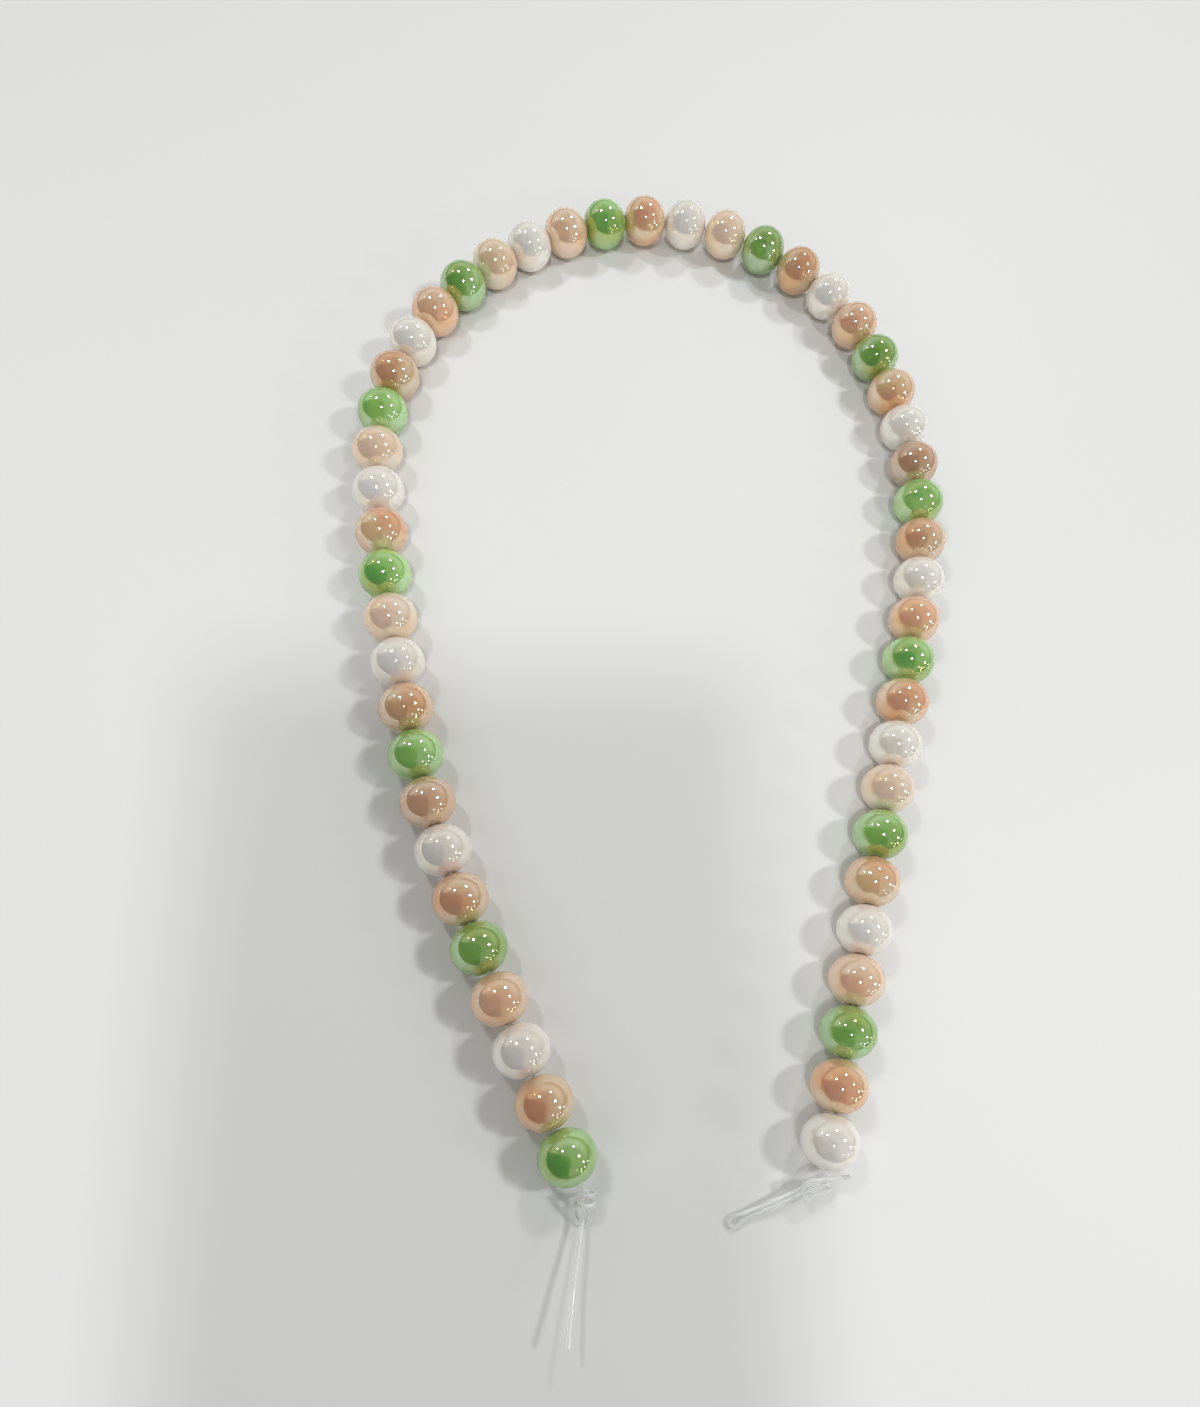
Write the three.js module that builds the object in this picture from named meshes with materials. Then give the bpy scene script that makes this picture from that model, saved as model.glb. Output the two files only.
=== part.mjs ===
// A strand of round glass beads on a clear nylon line, lying on a table in an open U, with the line
// knotted at both ends. Lengths are in millimetres, +Z is up and the beads touch the plane z = 0.
import * as THREE from "three";

// The beads
const BEAD_COUNT = 51;
const BEAD_DIAMETER = 8;
const BEAD_LENGTH = 7.05; // along the hole, from one ground face to the other
const END_FACE_DIAMETER = 2.2; // the flat that is ground round each mouth of the hole
const HOLE_DIAMETER = 1.3;
const BEAD_GAP = 0.3; // play left between neighbours on the line

// The line
const LINE_DIAMETER = 0.6;
const LINE_JOINT_GAP = 0.3; // between the stretch in the beads and each free end

// How finely round shapes are cut
const BEAD_SIDES = 12;
const BEAD_ARC_STEPS = 6;
const LINE_SIDES = 8;
const LINE_STEPS = 76;
const LINE_END_STEPS = 100;

// The strand's way over the table, [x, y], from its left end over the top to its right end
const STRAND_ROUTE = [
  [-17, -78.2], [-28.3, -51], [-35.5, -30.3], [-40.2, -8.8], [-43.2, 13], [-43.7, 35],
  [-35.8, 55.3], [-19.9, 70.5], [-1, 77.8], [14.9, 76.2], [28.2, 68.7], [37.2, 57.2],
  [43.4, 36.7], [43.3, 14.4], [38.4, -7], [28.3, -42.2], [18.2, -77.6],
];

// The line beyond the first bead, [x, y, z] from the mouth of its hole: an open ring that goes down to
// the table and back, two turns round the line itself, and a tail that springs up a little
const LEFT_END_ROUTE = [
  [0.75, -0.65, -0.1], [1.2, -1.2, -0.55], [1.15, -2.2, -1.25], [1.25, -3.25, -1.85], [1.5, -4.15, -2.55],
  [1, -5.05, -3.2], [0.05, -4.95, -3.4], [-0.6, -3.85, -2.9], [-0.75, -2.5, -1.8], [-0.4, -1.45, -0.6],
  [0.3, -1.25, -0.05], [1.4, -1.4, 0.3], [2.15, -1.4, -0.8], [1.1, -1.35, -1.8], [0.05, -1.9, -1.1],
  [0.8, -2.7, -0.2], [2, -2.65, -0.8], [1.6, -2.3, -2.2], [0.2, -2.95, -2.25], [0.3, -3.95, -2.05],
  [0.55, -4.6, -2], [0.35, -5.9, -1.8], [-0.15, -8.65, -1.4], [-0.85, -12.1, -0.8], [-1.4, -15.65, -0.1],
  [-1.85, -18.7, 0.6],
];

// The line beyond the last bead, in the same way: one turn of a knot, a long narrow loop that comes
// down to the table, and back through the knot to a short cut end that turns up
const RIGHT_END_ROUTE = [
  [-0.2, -0.75, 0.25], [-0.9, -1.2, 0.7], [-2.35, -1.35, 0.5], [-3.15, -1.95, -0.15],
  [-3.25, -2.85, -0.8], [-2.6, -3.9, -1.5], [-1.2, -3.4, -2.35], [0, -2.95, -2.35], [0.75, -2.4, -1.7],
  [0.35, -1.95, -0.8], [-1.1, -2.3, -0.7], [-2.35, -2.7, -1.15], [-3.65, -3.15, -2], [-7.25, -4.65, -2.8],
  [-10.6, -5.95, -3.4], [-11.85, -6.9, -3.6], [-12.45, -6.8, -3.55], [-12.75, -6.35, -3.6],
  [-12.5, -5.7, -3.55], [-10.6, -5.15, -3.2], [-7.3, -3.95, -2.4], [-3.9, -2.6, -1.5], [-2.4, -2, -0.9],
  [-0.85, -1.45, -0.5], [0.9, -1.25, -0.7], [2.4, -1.25, -1.1], [3.15, -1.2, -0.6], [3.25, -0.95, 0.1],
];

// The four glass colours, in the order in which they repeat along the line
const BEAD_COLOURS = [
  { name: "green", colour: 0x6fae5c, roughness: 0.12, metalness: 0.1 },
  { name: "rose", colour: 0xc08a70, roughness: 0.12, metalness: 0.1 },
  { name: "pearl", colour: 0xdedcd4, roughness: 0.12, metalness: 0.1 },
  { name: "peach", colour: 0xdba888, roughness: 0.12, metalness: 0.1 },
];
const LINE_LOOK = { colour: 0xe6e8e6, roughness: 0.15, metalness: 0 };

const BEAD_RADIUS = BEAD_DIAMETER / 2;

function meshOf(name, geometry, look) {
  const material = new THREE.MeshStandardMaterial({
    color: look.colour,
    roughness: look.roughness,
    metalness: look.metalness,
  });
  const mesh = new THREE.Mesh(geometry, material);
  mesh.name = name;
  return mesh;
}

// Half of the bead's section, turned about its hole: an ellipse cut off at both ground faces
function beadGeometry() {
  const faceRadius = END_FACE_DIAMETER / 2;
  const faceAngle = Math.asin(faceRadius / BEAD_RADIUS);
  const ellipseHalfLength = BEAD_LENGTH / 2 / Math.cos(faceAngle);
  const section = [new THREE.Vector2(HOLE_DIAMETER / 2, -BEAD_LENGTH / 2)];
  for (let i = 0; i <= BEAD_ARC_STEPS; i++) {
    const angle = faceAngle + ((Math.PI - 2 * faceAngle) * i) / BEAD_ARC_STEPS;
    section.push(
      new THREE.Vector2(BEAD_RADIUS * Math.sin(angle), -ellipseHalfLength * Math.cos(angle)),
    );
  }
  section.push(new THREE.Vector2(HOLE_DIAMETER / 2, BEAD_LENGTH / 2));
  section.push(section[0].clone());
  return new THREE.LatheGeometry(section, BEAD_SIDES);
}

function tubeGeometry(path, steps) {
  const section = new THREE.Shape();
  for (let i = 0; i < LINE_SIDES; i++) {
    const angle = (2 * Math.PI * i) / LINE_SIDES;
    const x = (LINE_DIAMETER / 2) * Math.cos(angle);
    const y = (LINE_DIAMETER / 2) * Math.sin(angle);
    if (i === 0) section.moveTo(x, y);
    else section.lineTo(x, y);
  }
  section.closePath();
  return new THREE.ExtrudeGeometry(section, { steps, extrudePath: path, bevelEnabled: false });
}

function smoothCurve(points) {
  return new THREE.CatmullRomCurve3(points, false, "centripetal");
}

// Bead centres at even steps along the route, which is stretched to the length of this row of beads
function beadCentres() {
  const drawn = STRAND_ROUTE.map(([x, y]) => new THREE.Vector3(x, y, 0));
  const rowLength = (BEAD_COUNT - 1) * (BEAD_LENGTH + BEAD_GAP);
  const stretch = rowLength / smoothCurve(drawn).getLength();
  const route = smoothCurve(drawn.map((point) => point.multiplyScalar(stretch)));
  const centres = route.getSpacedPoints(BEAD_COUNT - 1);
  centres.forEach((centre) => centre.setZ(BEAD_RADIUS));
  return centres;
}

// The direction of a bead's hole, along the line between its neighbours
function holeDirection(centres, i) {
  const before = centres[Math.max(i - 1, 0)];
  const after = centres[Math.min(i + 1, centres.length - 1)];
  return after.clone().sub(before).normalize();
}

function beads(centres) {
  const group = new THREE.Group();
  centres.forEach((centre, i) => {
    const look = BEAD_COLOURS[i % BEAD_COLOURS.length];
    const number = String(i + 1).padStart(2, "0");
    const bead = meshOf(`bead_${number}_${look.name}`, beadGeometry(), look);
    const along = holeDirection(centres, i);
    bead.position.copy(centre);
    bead.rotation.z = Math.atan2(-along.x, along.y); // the section turns about Y
    group.add(bead);
  });
  return group;
}

function lineEnd(name, mouth, outward, offsets) {
  const start = mouth.clone().addScaledVector(outward, LINE_JOINT_GAP);
  const points = offsets.map(([x, y, z]) => new THREE.Vector3(x, y, z).add(mouth));
  const path = smoothCurve([start, ...points]);
  return meshOf(name, tubeGeometry(path, LINE_END_STEPS), LINE_LOOK);
}

function line(centres) {
  const last = centres.length - 1;
  const leftward = holeDirection(centres, 0).negate();
  const rightward = holeDirection(centres, last);
  const leftMouth = centres[0].clone().addScaledVector(leftward, BEAD_LENGTH / 2);
  const rightMouth = centres[last].clone().addScaledVector(rightward, BEAD_LENGTH / 2);
  const threaded = smoothCurve([leftMouth, ...centres, rightMouth]);
  const group = new THREE.Group();
  group.add(
    meshOf("line_in_beads", tubeGeometry(threaded, LINE_STEPS), LINE_LOOK),
    lineEnd("line_end_left", leftMouth, leftward, LEFT_END_ROUTE),
    lineEnd("line_end_right", rightMouth, rightward, RIGHT_END_ROUTE),
  );
  return group;
}

const centres = beadCentres();
const row = beads(centres);
const middle = new THREE.Box3().setFromObject(row, true).getCenter(new THREE.Vector3());
const strand = new THREE.Group();
strand.add(row, line(centres));
strand.position.set(-middle.x, -middle.y, 0);

const necklace = new THREE.Group();
necklace.add(strand);

export default necklace;
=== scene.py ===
"""A strand of plated glass beads on a clear nylon line, lying on a white table in an open U.

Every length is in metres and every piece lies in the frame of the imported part.
"""

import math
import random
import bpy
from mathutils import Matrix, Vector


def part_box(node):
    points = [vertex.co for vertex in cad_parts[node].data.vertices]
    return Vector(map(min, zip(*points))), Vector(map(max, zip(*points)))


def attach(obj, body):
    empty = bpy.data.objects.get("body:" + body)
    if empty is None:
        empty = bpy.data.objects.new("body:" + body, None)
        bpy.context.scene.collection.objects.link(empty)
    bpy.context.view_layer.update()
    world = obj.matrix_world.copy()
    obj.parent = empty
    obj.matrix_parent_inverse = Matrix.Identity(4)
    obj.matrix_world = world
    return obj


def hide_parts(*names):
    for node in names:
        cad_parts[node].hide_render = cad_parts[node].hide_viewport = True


bl_info = {
    "name": "Beaded Necklace Strand",
    "version": (1, 0, 0),
    "blender": (4, 5, 0),
    "location": "View3D > Sidebar > Necklace",
    "description": "Makes a strand of plated glass beads on a knotted nylon line",
    "category": "Object",
}

import bmesh
import bpy
from bpy.props import FloatProperty, FloatVectorProperty, IntProperty, PointerProperty
from bpy.types import Operator, Panel, PropertyGroup
from mathutils import Matrix, Vector, noise

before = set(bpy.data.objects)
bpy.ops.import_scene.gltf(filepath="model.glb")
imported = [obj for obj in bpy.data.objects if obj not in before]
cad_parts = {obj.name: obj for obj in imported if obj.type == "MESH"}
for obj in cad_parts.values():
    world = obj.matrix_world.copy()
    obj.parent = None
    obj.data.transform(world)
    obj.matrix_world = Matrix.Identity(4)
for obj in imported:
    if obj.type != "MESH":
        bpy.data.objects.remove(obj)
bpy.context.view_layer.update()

MM = 0.001
WHITE = (1, 1, 1)
BEAD_NODES = sorted(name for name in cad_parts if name.startswith("bead_"))
THREADED_LINE = "line_in_beads"

# The line's way beyond each end bead, in millimetres from the mouth of its hole
LEFT_END_ROUTE = (
    (0.75, -0.65, -0.1), (1.2, -1.2, -0.55), (1.15, -2.2, -1.25), (1.25, -3.25, -1.85),
    (1.5, -4.15, -2.55), (1, -5.05, -3.2), (0.05, -4.95, -3.4), (-0.6, -3.85, -2.9),
    (-0.75, -2.5, -1.8), (-0.4, -1.45, -0.6), (0.3, -1.25, -0.05), (1.4, -1.4, 0.3),
    (2.15, -1.4, -0.8), (1.1, -1.35, -1.8), (0.05, -1.9, -1.1), (0.8, -2.7, -0.2),
    (2, -2.65, -0.8), (1.6, -2.3, -2.2), (0.2, -2.95, -2.25), (0.3, -3.95, -2.05),
    (0.55, -4.6, -2), (0.35, -5.9, -1.8), (-0.15, -8.65, -1.4), (-0.85, -12.1, -0.8),
    (-1.4, -15.65, -0.1), (-1.85, -18.7, 0.6),
)
RIGHT_END_ROUTE = (
    (-0.2, -0.75, 0.25), (-0.9, -1.2, 0.7), (-2.35, -1.35, 0.5), (-3.15, -1.95, -0.15),
    (-3.25, -2.85, -0.8), (-2.6, -3.9, -1.5), (-1.2, -3.4, -2.35), (0, -2.95, -2.35),
    (0.75, -2.4, -1.7), (0.35, -1.95, -0.8), (-1.1, -2.3, -0.7), (-2.35, -2.7, -1.15),
    (-3.65, -3.15, -2), (-7.25, -4.65, -2.8), (-10.6, -5.95, -3.4), (-11.85, -6.9, -3.6),
    (-12.45, -6.8, -3.55), (-12.75, -6.35, -3.6), (-12.5, -5.7, -3.55), (-10.6, -5.15, -3.2),
    (-7.3, -3.95, -2.4), (-3.9, -2.6, -1.5), (-2.4, -2, -0.9), (-0.85, -1.45, -0.5),
    (0.9, -1.25, -0.7), (2.4, -1.25, -1.1), (3.15, -1.2, -0.6), (3.25, -0.95, 0.1),
)
# How long each of these ends is along the line
LEFT_END_LENGTH = 0.041
RIGHT_END_LENGTH = 0.046

# How finely a bead is cut, round its hole and from one end of it to the other
BEAD_SEGMENTS = 56
BEAD_RINGS = 36
# The low swells of the pressed glass: how far apart they are, and how far into the noise that
# gives them a bead may be shifted
SWELL_SPACING = 5 * MM
SWELL_SHIFT = 50
# How far from the plane of a ground face its corners may be and still count as on it
FACE_TOLERANCE = 1e-6

# The four glasses: how bright the deeper streaks are against the body, the least and greatest
# thickness of the plated film in nanometres, and the hue that the film adds in places. A film a
# quarter of a wavelength thick, some 55 nm, mirrors the most and has hardly any hue of its own.
GLASSES = {
    "green": {"streaks": 0.7, "film": (50, 80), "tint": 0x62A858},
    "rose": {"streaks": 0.8, "film": (50, 78), "tint": 0xD0967C},
    "pearl": {"streaks": 0.92, "film": (48, 76), "tint": 0xF0ECEA},
    "peach": {"streaks": 0.85, "film": (50, 78), "tint": 0xE6AC92},
}
GLASS_IOR = 1.52
TITANIUM_OXIDE_IOR = 2.5
# How far light spreads inside the opal glass: about across a bead
GLASS_DEPTH = 8 * MM

# Beads whose glass came out paler (+) or deeper (-) than their neighbours, by number along the
# line, and how much any bead may differ besides
GLASS_PALENESS = {
    1: -0.1, 4: 0.1, 5: -0.2, 8: -0.3, 12: 0.45, 16: 0.45, 18: -0.2, 21: -0.35, 22: 0.3,
    24: 0.1, 26: 0.1, 28: 0.55, 29: -0.45, 30: -0.2, 32: -0.2, 33: -0.4, 36: -0.55, 38: -0.1,
    40: -0.1, 44: 0.5, 45: -0.2, 48: 0.1, 49: -0.3,
}
PALENESS_SPREAD = 0.08

TABLE_SIZE = (6, 6)
# A phone is held just above the lens and shades the lower left beads from the lamp in front: its
# middle, and how wide and long it is
PHONE_PLACE = (-0.038, -0.1485, 0.15)
PHONE_SIZE = (0.066, 0.155)
PHONE_COLOUR = 0x272727

# Small far lights that glint low on each bead: the direction of each from the strand and its
# height above the table, in degrees
GLINTS = ((-60, 25), (-48, 14), (-53, 7), (-38, 9), (-20, 8), (142, 33))
GLINT_POWER = 0.06
GLINT_WIDTH = 0.03
# All lamps, with the glints: direction and height in degrees, power in watts, width in metres
LAMPS = {
    "lamp_right": (-2, 50, 1.7, 0.09),
    "lamp_back_left": (135, 56, 1.05, 0.09),
    "lamp_back": (64, 45, 1.1, 0.09),
    "lamp_low_right": (-26, 25, 0.45, 0.07),
    "lamp_front": (-104, 66, 1.6, 0.08),
    "fill_left": (-135, 35, 1.6, 0.6),
    **{f"glint_{i}": (*place, GLINT_POWER, GLINT_WIDTH) for i, place in enumerate(GLINTS)},
}
LAMP_DISTANCE = 0.8
LAMP_COLOUR = (0.97, 0.985, 1.0)
LAMP_SHADED_BY_PHONE = "lamp_front"
LAMP_NOT_MIRRORED = "fill_left"

# How the light of the room changes with the direction that it comes from. Each row gives the part
# of the direction that a level follows, the two values of it between which the level changes,
# and the level at the first and at the second of them.
ROOM_LEVELS = {
    "wall": ("y", -0.3, 0.6, 0.32, 0.6),
    "low_wall": ("z", 0.02, 0.3, 0.3, 1.0),
    "share_of_ceiling": ("z", 0.4, 0.85, 0.0, 1.0),
    "dark_on_left": ("x", 0.02, 0.22, 1.0, 0.0),
    "dark_in_front": ("slant", -0.05, 0.12, 1.0, 0.0),
}
# How much x counts beside y in the slant
ROOM_SLANT = 0.35
CEILING_LEVEL = 0.23
DARK_LEVEL = 0.05
# A little warmer than the lamps
ROOM_COLOUR = (1.0, 0.98, 0.95)


def linear(hex_colour):
    """The scene's linear colour for an sRGB hex value such as 0xC08A70."""
    channels = [(hex_colour >> shift & 0xFF) / 255 for shift in (16, 8, 0)]
    return [c / 12.92 if c <= 0.04045 else ((c + 0.055) / 1.055) ** 2.4 for c in channels]


def shaded(colour, factor):
    """The colour made deeper (factor under 1) or paler (over 1)."""
    return [min(1.0, channel * factor) for channel in colour]


def towards(colour, other, share):
    """The colour mixed with a share of another one."""
    return [a + (b - a) * share for a, b in zip(colour, other)]


def colour_property(name, description, hex_colour):
    return FloatVectorProperty(
        name=name, description=description, subtype="COLOR", size=3, min=0, max=1,
        default=linear(hex_colour),
    )


def length_property(name, description, length):
    return FloatProperty(
        name=name, description=description, default=length, unit="LENGTH", precision=6,
    )


def angle_property(name, description, degrees):
    return FloatProperty(
        name=name, description=description, default=math.radians(degrees), unit="ROTATION",
    )


class NECKLACE_PG_beads(PropertyGroup):
    """Sizes and colours of the beads."""

    width: length_property("Width", "Across the bead, square to its hole", 8 * MM)
    length: length_property("Length", "Along the hole, between the ground faces", 7.05 * MM)
    face_width: length_property("Ground Face", "Across the flat round the hole", 2.2 * MM)
    hole_width: length_property("Hole", "Across the hole", 1.3 * MM)
    edge_radius: length_property(
        "Edge Radius", "Rounding of the edges at the ground faces", 0.12 * MM,
    )
    unevenness: length_property(
        "Unevenness", "How far the pressed glass falls short of a true form", 0.03 * MM,
    )
    green: colour_property("Green", "Body of the green glass", 0xA0D468)
    rose: colour_property("Rose", "Body of the rose glass", 0xDFBB8B)
    pearl: colour_property("Pearl", "Body of the white glass", 0xF8E8D4)
    peach: colour_property("Peach", "Body of the peach glass", 0xE0B690)
    seed: IntProperty(name="Seed", description="Changes the unevenness of all beads", default=7)


class NECKLACE_PG_line(PropertyGroup):
    """Size and colour of the line."""

    width: length_property("Width", "Thickness of the line", 0.6 * MM)
    nylon: colour_property("Nylon", "Tint of the clear nylon", 0xFCFDFC)


class NECKLACE_PG_stage(PropertyGroup):
    """Camera, table, lamps and room."""

    camera_place: FloatVectorProperty(
        name="Camera", description="Where the camera stands", subtype="XYZ", unit="LENGTH",
        default=(-0.027679, -0.072977, 0.140492),
    )
    heading: angle_property("Heading", "Turn of the camera about the vertical", -21.233)
    tilt: angle_property("Tilt", "Lean of the camera away from straight down", 18.732)
    roll: angle_property("Roll", "Turn of the camera about its own line of sight", 20.202)
    lens: FloatProperty(
        name="Lens", description="Focal length for a 36 mm sensor", default=25.586, unit="CAMERA",
    )
    rise: FloatProperty(name="Rise", description="Upward shift of the lens", default=0.068)
    table: colour_property("Table", "Colour of the table top", 0xDEDEDC)
    room_strength: FloatProperty(
        name="Room", description="Strength of the light that comes from the whole room",
        default=1.0, min=0,
    )
    lamp_strength: FloatProperty(
        name="Lamps", description="Factor on the power of all lamps", default=1.0, min=0,
    )


def node(tree, kind, inputs=None, **values):
    """Adds a node, sets its own values, and fills its sockets with values or links."""
    made = tree.nodes.new(kind)
    for name, value in values.items():
        setattr(made, name, value)
    for socket, value in (inputs or {}).items():
        if isinstance(value, bpy.types.NodeSocket):
            tree.links.new(value, made.inputs[socket])
        else:
            made.inputs[socket].default_value = value
    return made


def new_material(name):
    """A material without nodes, and its node tree."""
    material = bpy.data.materials.new(name)
    material.use_nodes = True
    material.node_tree.nodes.clear()
    return material, material.node_tree


def plated_glass(kind, body, streaks, film, tint):
    """Opal glass, pressed and fire-polished, with a vapour-plated film of titanium oxide.

    Light goes into the milky glass and comes out again all over the bead, so no side of it is
    dark. The polish mirrors the white table, the room and the lamps sharply, and the film makes
    that mirror stronger and lays a tint on the glass that drifts over each bead.
    """
    material, tree = new_material(f"plated_pressed_glass_{kind}")
    deep = shaded(body, streaks)
    palest = towards(body, WHITE, 0.45)
    deepest = shaded(deep, 0.45)
    thinnest, thickest = film
    place = node(tree, "ShaderNodeTexCoord").outputs["Object"]
    # the plating drifts over about 6 mm, less than a bead's width
    plating = node(
        tree, "ShaderNodeTexNoise",
        {"Vector": place, "Scale": 1 / (6 * MM), "Detail": 1.0, "Roughness": 0.4},
    ).outputs["Fac"]
    drift = node(
        tree, "ShaderNodeMapRange",
        {"Value": plating, "From Min": 0.3, "From Max": 0.7, "To Min": 0.0, "To Max": 1.0},
        interpolation_type="SMOOTHSTEP",
    ).outputs["Result"]
    # streaks of deeper glass in the melt, about 2.5 mm wide
    melt = node(
        tree, "ShaderNodeTexNoise",
        {"Vector": place, "Scale": 1 / (2.5 * MM), "Detail": 2.0, "Distortion": 0.6},
    ).outputs["Fac"]
    streaked = node(
        tree, "ShaderNodeMix", {"Factor": melt, "A": [*body, 1], "B": [*deep, 1]},
        data_type="RGBA",
    ).outputs["Result"]
    tinted = node(
        tree, "ShaderNodeMix", {"Factor": drift, "A": streaked, "B": [*linear(tint), 1]},
        data_type="RGBA",
    ).outputs["Result"]
    # each bead's paleness goes towards the palest glass above zero and to the deepest below it
    pale = node(tree, "ShaderNodeAttribute", attribute_name="paleness").outputs["Fac"]
    paler = node(
        tree, "ShaderNodeMix", {"Factor": pale, "A": tinted, "B": [*palest, 1]},
        data_type="RGBA", clamp_factor=True,
    ).outputs["Result"]
    depth = node(
        tree, "ShaderNodeMath", {0: pale, 1: -1.0}, operation="MULTIPLY", use_clamp=True,
    ).outputs["Value"]
    colour = node(
        tree, "ShaderNodeMix", {"Factor": depth, "A": paler, "B": [*deepest, 1]},
        data_type="RGBA", clamp_factor=True,
    ).outputs["Result"]
    thickness = node(
        tree, "ShaderNodeMapRange",
        {"Value": drift, "From Min": 0.0, "From Max": 1.0, "To Min": thinnest, "To Max": thickest},
    ).outputs["Result"]
    shader = node(
        tree, "ShaderNodeBsdfPrincipled",
        {"Base Color": colour, "Roughness": 0.03, "IOR": GLASS_IOR,
         "Subsurface Weight": 1.0, "Subsurface Radius": (1, 1, 1), "Subsurface Scale": GLASS_DEPTH,
         "Thin Film Thickness": thickness, "Thin Film IOR": TITANIUM_OXIDE_IOR},
    )
    node(tree, "ShaderNodeOutputMaterial", {"Surface": shader.outputs["BSDF"]})
    return material


def ground_glass(kind, body):
    """The same glass where it was ground and drilled: unplated, so dull and a little paler, with
    the fine scratches of the grinding wheel."""
    material, tree = new_material(f"ground_glass_{kind}")
    scratched = towards(body, WHITE, 0.35)
    place = node(tree, "ShaderNodeTexCoord").outputs["Object"]
    # grit of about 0.15 mm, coarser than the real one so that it shows
    grit = node(
        tree, "ShaderNodeTexNoise", {"Vector": place, "Scale": 1 / (0.15 * MM), "Detail": 3.0},
    ).outputs["Fac"]
    colour = node(
        tree, "ShaderNodeMix", {"Factor": grit, "A": [*body, 1], "B": [*scratched, 1]},
        data_type="RGBA",
    ).outputs["Result"]
    bump = node(tree, "ShaderNodeBump", {"Height": grit, "Strength": 0.3, "Distance": 0.03 * MM})
    shader = node(
        tree, "ShaderNodeBsdfPrincipled",
        {"Base Color": colour, "Roughness": 0.45, "IOR": GLASS_IOR,
         "Normal": bump.outputs["Normal"]},
    )
    node(tree, "ShaderNodeOutputMaterial", {"Surface": shader.outputs["BSDF"]})
    return material


def nylon_monofilament(tint):
    """Clear nylon, drawn through a die: what lies behind it shows through, it shines along its
    length, and it is faintly milky in stretches."""
    name = "nylon_monofilament"
    if name in bpy.data.materials:
        return bpy.data.materials[name]
    material, tree = new_material(name)
    milky = shaded(tint, 0.94)
    place = node(tree, "ShaderNodeTexCoord").outputs["Object"]
    # milky stretches of about 3 mm
    milk = node(
        tree, "ShaderNodeTexNoise", {"Vector": place, "Scale": 1 / (3 * MM), "Detail": 2.0},
    ).outputs["Fac"]
    roughness = node(
        tree, "ShaderNodeMapRange",
        {"Value": milk, "From Min": 0.3, "From Max": 0.7, "To Min": 0.06, "To Max": 0.12},
    ).outputs["Result"]
    colour = node(
        tree, "ShaderNodeMix", {"Factor": milk, "A": [*tint, 1], "B": [*milky, 1]},
        data_type="RGBA",
    ).outputs["Result"]
    shader = node(
        tree, "ShaderNodeBsdfPrincipled",
        {"Base Color": colour, "Roughness": roughness, "IOR": 1.53,
         "Transmission Weight": 0.45, "Alpha": 0.7},
    )
    node(tree, "ShaderNodeOutputMaterial", {"Surface": shader.outputs["BSDF"]})
    return material


def plain_finish(name, colour, roughness):
    """A finish that is the same all over."""
    material, tree = new_material(name)
    shader = node(
        tree, "ShaderNodeBsdfPrincipled", {"Base Color": [*colour, 1], "Roughness": roughness},
    )
    node(tree, "ShaderNodeOutputMaterial", {"Surface": shader.outputs["BSDF"]})
    return material


def add_object(name, data):
    made = bpy.data.objects.new(name, data)
    bpy.context.scene.collection.objects.link(made)
    return made


def add_mesh(name, form, materials):
    """An object whose mesh is the bmesh form, which is freed."""
    mesh = bpy.data.meshes.new(name)
    form.to_mesh(mesh)
    form.free()
    for material in materials:
        mesh.materials.append(material)
    return add_object(name, mesh)


def bead_centre(name):
    low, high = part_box(name)
    return (low + high) / 2


def hole_direction(index):
    """Along the line at this bead, from the bead before it to the bead after it."""
    before = bead_centre(BEAD_NODES[max(index - 1, 0)])
    after = bead_centre(BEAD_NODES[min(index + 1, len(BEAD_NODES) - 1)])
    return (after - before).normalized()


def mouth(index, side, beads):
    """The middle of the bead's ground face on that side of it (-1 or 1)."""
    outward = hole_direction(index) * side
    return bead_centre(BEAD_NODES[index]) + outward * beads.length / 2


def smooth_spline(curve, points):
    """Adds a Bezier spline along the centripetal Catmull-Rom curve through the points."""
    ends = [2 * points[0] - points[1], *points, 2 * points[-1] - points[-2]]
    knots = [math.sqrt((b - a).length) for a, b in zip(ends, ends[1:])]
    spline = curve.splines.new("BEZIER")
    spline.bezier_points.add(len(points) - 1)
    for i, (point, bezier) in enumerate(zip(points, spline.bezier_points)):
        before, after = ends[i], ends[i + 2]
        back, ahead = knots[i], knots[i + 1]
        slope = (
            (point - before) / back
            - (after - before) / (back + ahead)
            + (after - point) / ahead
        )
        bezier.handle_left_type = bezier.handle_right_type = "FREE"
        bezier.co = point
        bezier.handle_left = point - slope * back / 3
        bezier.handle_right = point + slope * ahead / 3


def line_end(name, start, route, line):
    """One free end of the line, as a curve from the mouth of the hole."""
    curve = bpy.data.curves.new(name, "CURVE")
    curve.dimensions = "3D"
    curve.bevel_depth = line.width / 2
    curve.bevel_resolution = 4
    curve.resolution_u = 14
    curve.use_fill_caps = True
    smooth_spline(curve, [start, *(start + Vector(offset) * MM for offset in route)])
    curve.materials.append(nylon_monofilament(line.nylon))
    return add_object(name, curve)


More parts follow.
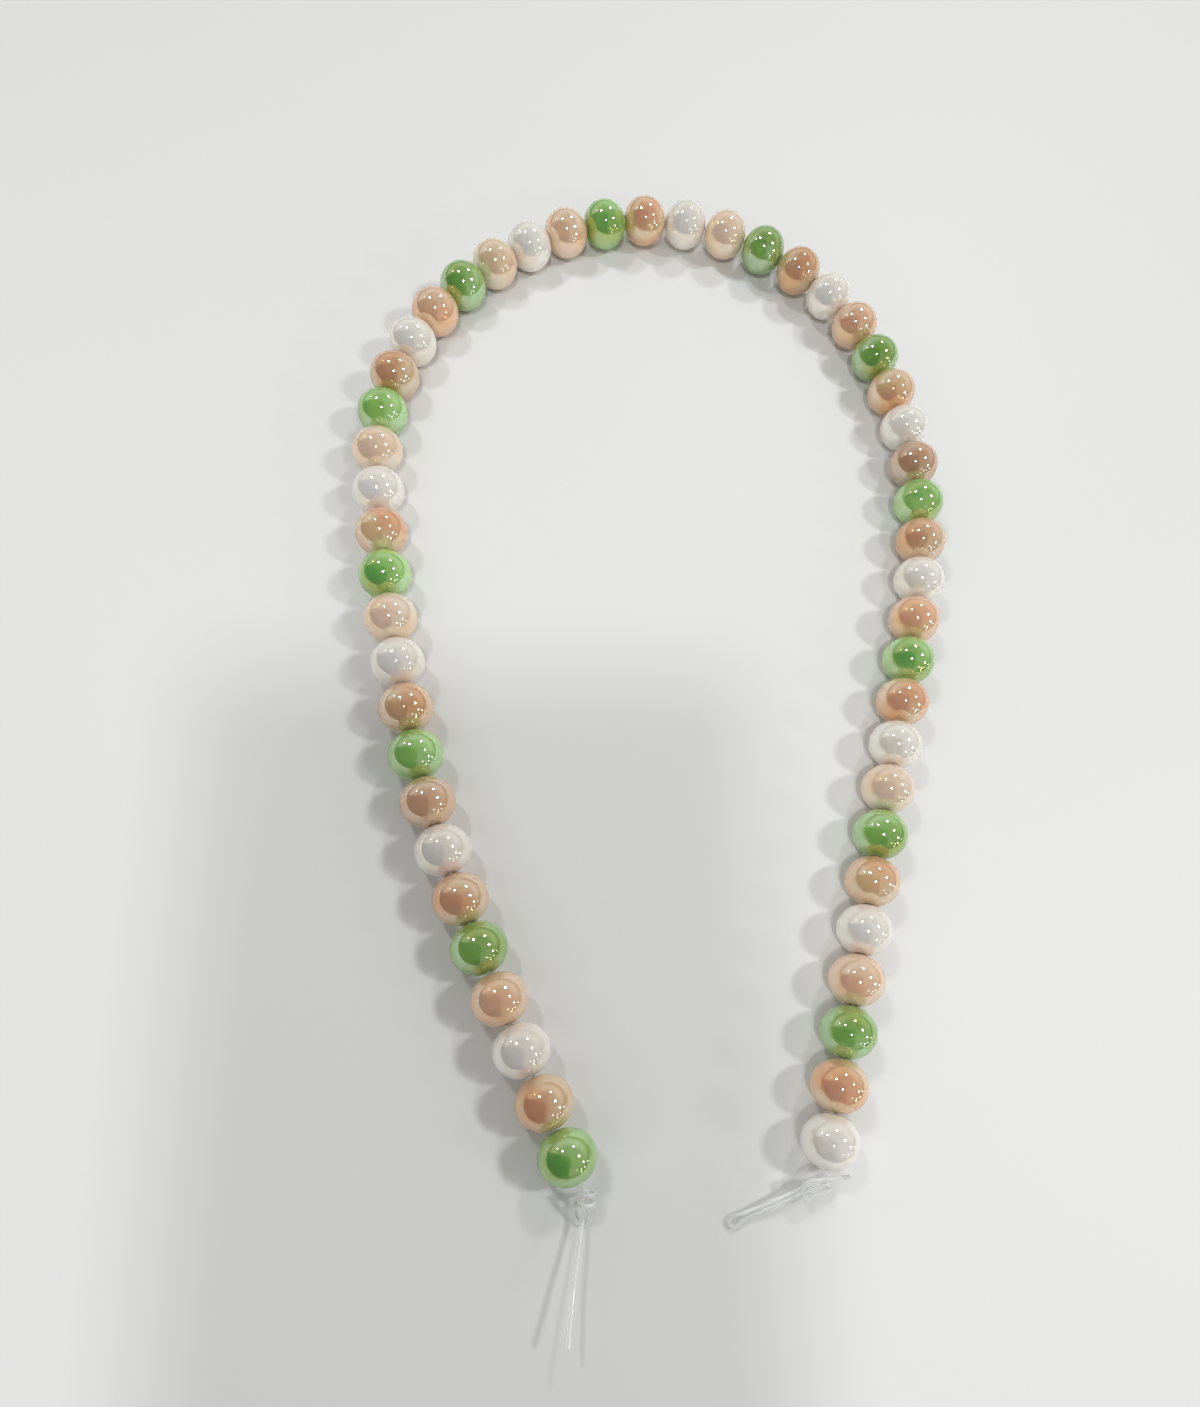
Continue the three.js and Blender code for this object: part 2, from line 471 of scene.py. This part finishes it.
def bead_form(beads, rng):
    """A bead about the Z axis: a squashed ball cut off at both ground faces and drilled."""
    radius, half_length = beads.width / 2, beads.length / 2
    face_radius, hole_radius = beads.face_width / 2, beads.hole_width / 2
    squash = half_length / math.sqrt(radius**2 - face_radius**2)
    form = bmesh.new()
    bmesh.ops.create_uvsphere(
        form, u_segments=BEAD_SEGMENTS, v_segments=BEAD_RINGS, radius=radius,
    )
    bmesh.ops.scale(form, vec=(1, 1, squash), verts=form.verts)
    for side in (-1, 1):
        bmesh.ops.bisect_plane(
            form, geom=[*form.verts, *form.edges, *form.faces],
            plane_co=(0, 0, side * half_length), plane_no=(0, 0, side), clear_outer=True,
        )
    # the swells go inwards only, and die out towards the ground faces
    shift = Vector([rng.uniform(0, SWELL_SHIFT) for _ in range(3)])
    for vert in form.verts:
        swell = 1 + noise.noise(vert.co / SWELL_SPACING + shift)
        waist = 1 - (abs(vert.co.z) / half_length) ** 4
        vert.co.xy *= 1 - beads.unevenness / radius * swell * waist
    # each ground face runs in from the rim of the ball to the rim of the bore
    rims, bore = [], []
    for side in (-1, 1):
        outer = [
            edge for edge in form.edges if edge.is_boundary and edge.verts[0].co.z * side > 0
        ]
        ring = bmesh.ops.extrude_edge_only(form, edges=outer)["geom"]
        inner_verts = [part for part in ring if isinstance(part, bmesh.types.BMVert)]
        inner = [
            part for part in ring
            if isinstance(part, bmesh.types.BMEdge) and part.is_boundary
        ]
        share = hole_radius / face_radius
        bmesh.ops.scale(form, vec=(share, share, 1), verts=inner_verts)
        rims += [*outer, *inner]
        bore += inner
    drilled = bmesh.ops.bridge_loops(form, edges=bore)["faces"]
    ground = [
        face for face in form.faces
        if all(abs(abs(vert.co.z) - half_length) < FACE_TOLERANCE for vert in face.verts)
    ]
    for face in (*drilled, *ground):
        face.material_index = 1
    bmesh.ops.bevel(
        form, geom=rims, offset=beads.edge_radius, segments=3, profile=0.5, affect="EDGES",
        material=-1,
    )
    bmesh.ops.recalc_face_normals(form, faces=form.faces)
    for face in form.faces:
        face.smooth = True
    return form


def add_camera(stage):
    data = bpy.data.cameras.new("camera")
    data.sensor_width = 36
    data.lens = stage.lens
    data.shift_y = stage.rise
    data.clip_start, data.clip_end = 0.001, 20
    camera = add_object("camera", data)
    camera.matrix_world = (
        Matrix.Translation(stage.camera_place)
        @ Matrix.Rotation(stage.heading, 4, "Z")
        @ Matrix.Rotation(stage.tilt, 4, "X")
        @ Matrix.Rotation(stage.roll, 4, "Z")
    )
    return camera


def add_plane(name, place, size, finish):
    """A flat piece of the stage, level, with its middle at that place."""
    form = bmesh.new()
    bmesh.ops.create_grid(form, x_segments=1, y_segments=1, size=0.5)
    bmesh.ops.scale(form, vec=(*size, 1), verts=form.verts)
    bmesh.ops.translate(form, vec=place, verts=form.verts)
    plane = add_mesh(name, form, [finish])
    return plane


def add_phone():
    """A phone with a back of dark, glossy glass, and the collection that keeps its shade away
    from a lamp."""
    phone = add_plane(
        "phone", PHONE_PLACE, PHONE_SIZE,
        plain_finish("black_glass_phone_back", linear(PHONE_COLOUR), roughness=0.3),
    )
    phone.visible_camera = False
    unshaded = bpy.data.collections.new("shades_only_lamp_front")
    unshaded.objects.link(phone)
    unshaded.collection_objects[0].light_linking.link_state = "EXCLUDE"
    return unshaded


def add_lamps(strength, unshaded):
    """Round lamps that face the strand. The phone shades only one of them."""
    for name, (around, height, power, width) in LAMPS.items():
        data = bpy.data.lights.new(name, "AREA")
        data.shape = "DISK"
        data.size = width
        data.energy = power * strength
        data.color = LAMP_COLOUR
        around, height = math.radians(around), math.radians(height)
        direction = Vector((
            math.cos(around) * math.cos(height),
            math.sin(around) * math.cos(height),
            math.sin(height),
        ))
        lamp = add_object(name, data)
        lamp.location = direction * LAMP_DISTANCE
        lamp.rotation_euler = direction.to_track_quat("Z", "Y").to_euler()
        lamp.visible_glossy = name != LAMP_NOT_MIRRORED
        if name != LAMP_SHADED_BY_PHONE:
            lamp.light_linking.blocker_collection = unshaded


def room(strength):
    """Light from a whole room. Its walls are brightest at the back, darker just above the table
    and towards the ceiling, and its left front is dark all the way up."""
    world = bpy.data.worlds.new("room")
    world.use_nodes = True
    tree = world.node_tree
    tree.nodes.clear()
    direction = node(tree, "ShaderNodeTexCoord").outputs["Generated"]
    x, y, z = node(tree, "ShaderNodeSeparateXYZ", {0: direction}).outputs
    slant = node(
        tree, "ShaderNodeMath", {0: x, 1: ROOM_SLANT, 2: y}, operation="MULTIPLY_ADD",
    ).outputs["Value"]
    followed = {"x": x, "y": y, "z": z, "slant": slant}
    levels = {
        name: node(
            tree, "ShaderNodeMapRange",
            {"Value": followed[part], "From Min": low, "From Max": high,
             "To Min": first, "To Max": last},
            interpolation_type="SMOOTHSTEP",
        ).outputs["Result"]
        for name, (part, low, high, first, last) in ROOM_LEVELS.items()
    }
    walls = node(
        tree, "ShaderNodeMath", {0: levels["wall"], 1: levels["low_wall"]},
        operation="MULTIPLY",
    ).outputs["Value"]
    with_ceiling = node(
        tree, "ShaderNodeMix",
        {"Factor": levels["share_of_ceiling"], "A": walls, "B": CEILING_LEVEL},
        data_type="FLOAT",
    ).outputs["Result"]
    dark = node(
        tree, "ShaderNodeMath", {0: levels["dark_on_left"], 1: levels["dark_in_front"]},
        operation="MULTIPLY",
    ).outputs["Value"]
    level = node(
        tree, "ShaderNodeMix", {"Factor": dark, "A": with_ceiling, "B": DARK_LEVEL},
        data_type="FLOAT",
    ).outputs["Result"]
    colour = node(
        tree, "ShaderNodeVectorMath", {0: level, 1: ROOM_COLOUR}, operation="MULTIPLY",
    ).outputs["Vector"]
    background = node(tree, "ShaderNodeBackground", {"Color": colour, "Strength": strength})
    node(tree, "ShaderNodeOutputWorld", {"Surface": background.outputs["Background"]})
    return world


class NECKLACE_OT_line_ends(Operator):
    """Make the two knotted free ends of the nylon line"""

    bl_idname = "necklace.line_ends"
    bl_label = "Line Ends"

    def execute(self, context):
        beads, line = context.scene.necklace_beads, context.scene.necklace_line
        last = len(BEAD_NODES) - 1
        for end, index, side, route, length in (
            ("left", 0, -1, LEFT_END_ROUTE, LEFT_END_LENGTH),
            ("right", last, 1, RIGHT_END_ROUTE, RIGHT_END_LENGTH),
        ):
            start = mouth(index, side, beads)
            piece = line_end(f"knotted_end_{end}", start, route, line)
            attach(piece, "root")
            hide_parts(f"line_end_{end}")
        return {"FINISHED"}


class NECKLACE_OT_beads(Operator):
    """Make the beads, each in the place of its CAD node"""

    bl_idname = "necklace.beads"
    bl_label = "Beads"

    def execute(self, context):
        beads = context.scene.necklace_beads
        finishes = {
            kind: (
                plated_glass(kind, getattr(beads, kind), **look),
                ground_glass(kind, getattr(beads, kind)),
            )
            for kind, look in GLASSES.items()
        }
        rng = random.Random(beads.seed)
        for index, cad_node in enumerate(BEAD_NODES):
            kind = cad_node.split("_")[-1]
            form = bead_form(beads, rng)
            turn = Matrix.Rotation(rng.uniform(0, math.tau), 4, "Z")
            along_hole = hole_direction(index).to_track_quat("Z", "Y").to_matrix().to_4x4()
            place = Matrix.Translation(bead_centre(cad_node)) @ along_hole @ turn
            bmesh.ops.transform(form, matrix=place, verts=form.verts)
            piece = add_mesh(f"glass_{cad_node}", form, finishes[kind])
            spread = rng.uniform(-PALENESS_SPREAD, PALENESS_SPREAD)
            paleness = GLASS_PALENESS.get(index + 1, 0) + spread
            attribute = piece.data.attributes.new("paleness", "FLOAT", "POINT")
            attribute.data.foreach_set("value", [paleness] * len(piece.data.vertices))
            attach(piece, "root")
            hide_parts(cad_node)
        return {"FINISHED"}


class NECKLACE_OT_threaded_line(Operator):
    """Give the stretch of line inside the beads its nylon"""

    bl_idname = "necklace.threaded_line"
    bl_label = "Line in Beads"

    def execute(self, context):
        nylon = nylon_monofilament(context.scene.necklace_line.nylon)
        for material_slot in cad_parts[THREADED_LINE].material_slots:
            material_slot.material = nylon
        return {"FINISHED"}


class NECKLACE_OT_stage(Operator):
    """Place the camera at the photograph's angle, lay the table, and set up the lamps and room"""

    bl_idname = "necklace.stage"
    bl_label = "Stage"

    def execute(self, context):
        scene = context.scene
        stage = scene.necklace_stage
        scene.view_settings.view_transform = "Standard"
        scene.camera = add_camera(stage)
        # brushed matt paint, on which soft shadows show and the beads are hardly mirrored
        paint = plain_finish("painted_table_top", stage.table, roughness=0.55)
        add_plane("table", (0, 0, 0), TABLE_SIZE, paint)
        add_lamps(stage.lamp_strength, unshaded=add_phone())
        scene.world = room(stage.room_strength)
        return {"FINISHED"}


PANEL_STEPS = {
    "necklace_beads": (NECKLACE_OT_beads,),
    "necklace_line": (NECKLACE_OT_line_ends, NECKLACE_OT_threaded_line),
    "necklace_stage": (NECKLACE_OT_stage,),
}


class NECKLACE_PT_panel(Panel):
    """Sizes, colours and steps of the strand"""

    bl_label = "Beaded Necklace"
    bl_idname = "NECKLACE_PT_panel"
    bl_space_type = "VIEW_3D"
    bl_region_type = "UI"
    bl_category = "Necklace"

    def draw(self, context):
        for group_name, steps in PANEL_STEPS.items():
            group = getattr(context.scene, group_name)
            box = self.layout.box()
            for name in group.bl_rna.properties.keys():
                if name not in ("rna_type", "name"):
                    box.prop(group, name)
            for step in steps:
                box.operator(step.bl_idname)


CLASSES = (
    NECKLACE_PG_beads, NECKLACE_PG_line, NECKLACE_PG_stage,
    NECKLACE_OT_line_ends, NECKLACE_OT_beads, NECKLACE_OT_threaded_line, NECKLACE_OT_stage,
    NECKLACE_PT_panel,
)


def register():
    for cls in CLASSES:
        bpy.utils.register_class(cls)
    bpy.types.Scene.necklace_beads = PointerProperty(type=NECKLACE_PG_beads)
    bpy.types.Scene.necklace_line = PointerProperty(type=NECKLACE_PG_line)
    bpy.types.Scene.necklace_stage = PointerProperty(type=NECKLACE_PG_stage)


def unregister():
    del bpy.types.Scene.necklace_beads
    del bpy.types.Scene.necklace_line
    del bpy.types.Scene.necklace_stage
    for cls in reversed(CLASSES):
        bpy.utils.unregister_class(cls)


def main():
    register()
    bpy.ops.necklace.line_ends()
    bpy.ops.necklace.beads()
    bpy.ops.necklace.threaded_line()
    bpy.ops.necklace.stage()


if __name__ == "__main__":
    main()
